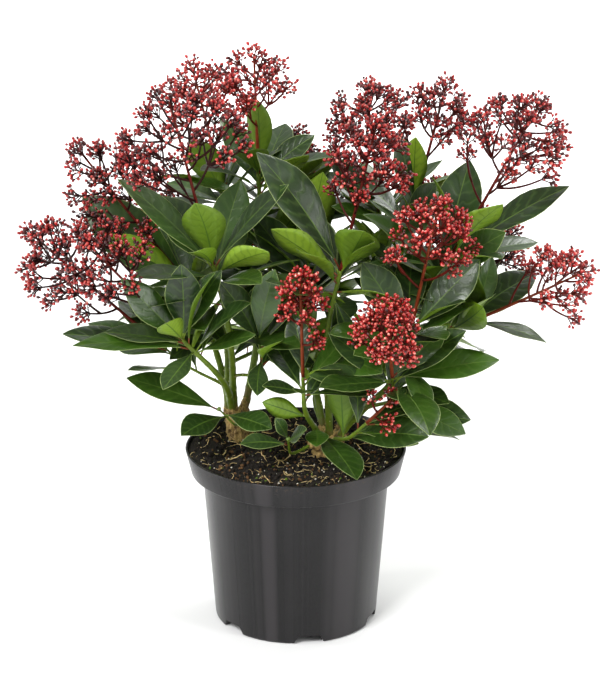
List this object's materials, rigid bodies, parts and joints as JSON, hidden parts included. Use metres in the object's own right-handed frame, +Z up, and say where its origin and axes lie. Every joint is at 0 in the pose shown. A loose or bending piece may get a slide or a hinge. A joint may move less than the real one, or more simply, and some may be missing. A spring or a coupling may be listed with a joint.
{
  "type": "potted skimmia shrub",
  "caption": "Evergreen skimmia in a dark nursery pot: green stems from two clumps carry whorls of leathery leaves and branched heads of round red buds.",
  "frame": {"origin": "centre of the pot's flat underside, the mount named underside", "axes": "+Z up; +X to the right of the plant's front, across its two clumps; -Y towards the viewer in front of it"},
  "size_m": [0.478, 0.332, 0.4984],
  "materials": {
    "pot_plastic": "dark grey moulded plastic, softly glossy",
    "potting_soil": "loose dark peat with pale fibres and white specks",
    "bark": "knobbly tan bark at the foot of each clump",
    "green_stem": "smooth yellow-green stem with pale leaf scars",
    "foliage": "leathery glossy dark green leaf, paler beneath",
    "buds": "round coral-red buds with pale tips"
  },
  "bodies": {
    "root": {"bough_back_foot": "green_stem", "bough_front_foot": "green_stem", "bough_left_back": "green_stem", "bough_left_behind": "green_stem", "bough_left_crown": "green_stem", "bough_left_far": "green_stem", "bough_left_foot": "green_stem", "bough_left_inner": "green_stem", "bough_left_low": "green_stem", "bough_left_peak": "green_stem", "bough_left_tall": "green_stem", "bough_left_upper": "green_stem", "bough_middle_back": "green_stem", "bough_middle_front": "green_stem", "bough_middle_inner": "green_stem", "bough_middle_rear": "green_stem", "bough_middle_tall": "green_stem", "bough_right_back": "green_stem", "bough_right_far": "green_stem", "bough_right_foot": "green_stem", "bough_right_front": "green_stem", "bough_right_inner": "green_stem", "bough_right_low": "green_stem", "bough_right_peak": "green_stem", "bough_right_rear": "green_stem", "bough_right_side": "green_stem", "bough_right_upper": "green_stem", "clump_left": "bark", "clump_right": "bark", "mass_back_foot": "foliage", "mass_front_foot": "foliage", "mass_left_back": "foliage", "mass_left_behind": "foliage", "mass_left_crown": "foliage", "mass_left_far": "foliage", "mass_left_foot": "foliage", "mass_left_inner": "foliage", "mass_left_low": "foliage", "mass_left_peak": "foliage", "mass_left_tall": "foliage", "mass_left_upper": "foliage", "mass_middle_back": "foliage", "mass_middle_front": "foliage", "mass_middle_inner": "foliage", "mass_middle_rear": "foliage", "mass_middle_tall": "foliage", "mass_right_back": "foliage", "mass_right_far": "foliage", "mass_right_foot": "foliage", "mass_right_front": "foliage", "mass_right_inner": "foliage", "mass_right_low": "foliage", "mass_right_peak": "foliage", "mass_right_rear": "foliage", "mass_right_side": "foliage", "mass_right_upper": "foliage", "pot": "pot_plastic", "soil": "potting_soil"}
  },
  "joints": []
}
